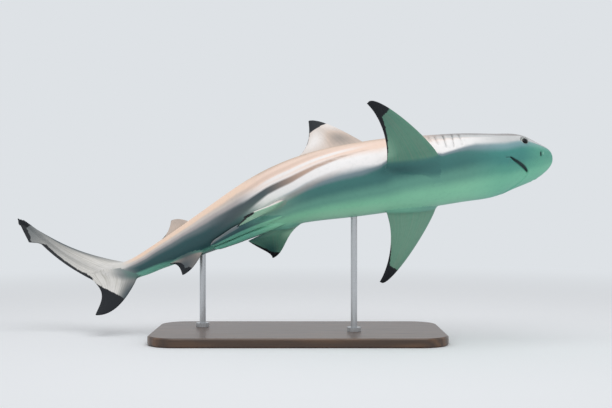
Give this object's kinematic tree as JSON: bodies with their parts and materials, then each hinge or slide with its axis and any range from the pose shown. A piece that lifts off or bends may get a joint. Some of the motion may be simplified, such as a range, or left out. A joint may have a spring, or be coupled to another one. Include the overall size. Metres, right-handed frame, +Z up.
{
  "type": "blacktip reef shark",
  "caption": "Life-size museum model of a swimming blacktip reef shark, banked to show its pale belly and black fin tips, held by slim rods on a flat base.",
  "frame": {"origin": "centre of the stand's underside", "axes": "+X towards the shark's snout, +Y away from the side shown in the main view, +Z up"},
  "size_m": [1.2283, 0.3486, 0.5063],
  "materials": {
    "painted_skin": "painted satin",
    "painted_fins": "painted satin",
    "eye": "polished",
    "stand_wood": "dark satin varnish",
    "stand_steel": "brushed"
  },
  "bodies": {
    "root": {"head": "painted_skin", "lower_jaw": "painted_skin", "gill_region": "painted_skin", "trunk_front": "painted_skin", "trunk_rear": "painted_skin", "tail_base": "painted_skin", "tail_stalk": "painted_skin", "caudal_upper_lobe": "painted_fins", "caudal_lower_lobe": "painted_fins", "first_dorsal_fin": "painted_fins", "second_dorsal_fin": "painted_fins", "anal_fin": "painted_fins", "pectoral_fin_left": "painted_fins", "pectoral_fin_right": "painted_fins", "pelvic_fin_left": "painted_fins", "pelvic_fin_right": "painted_fins", "clasper_left": "painted_fins", "clasper_right": "painted_fins", "eye_left": "eye", "eye_right": "eye", "stand_base": "stand_wood", "stand_rod_front": "stand_steel", "stand_rod_rear": "stand_steel", "stand_collar_front": "stand_steel", "stand_collar_rear": "stand_steel"}
  },
  "joints": []
}
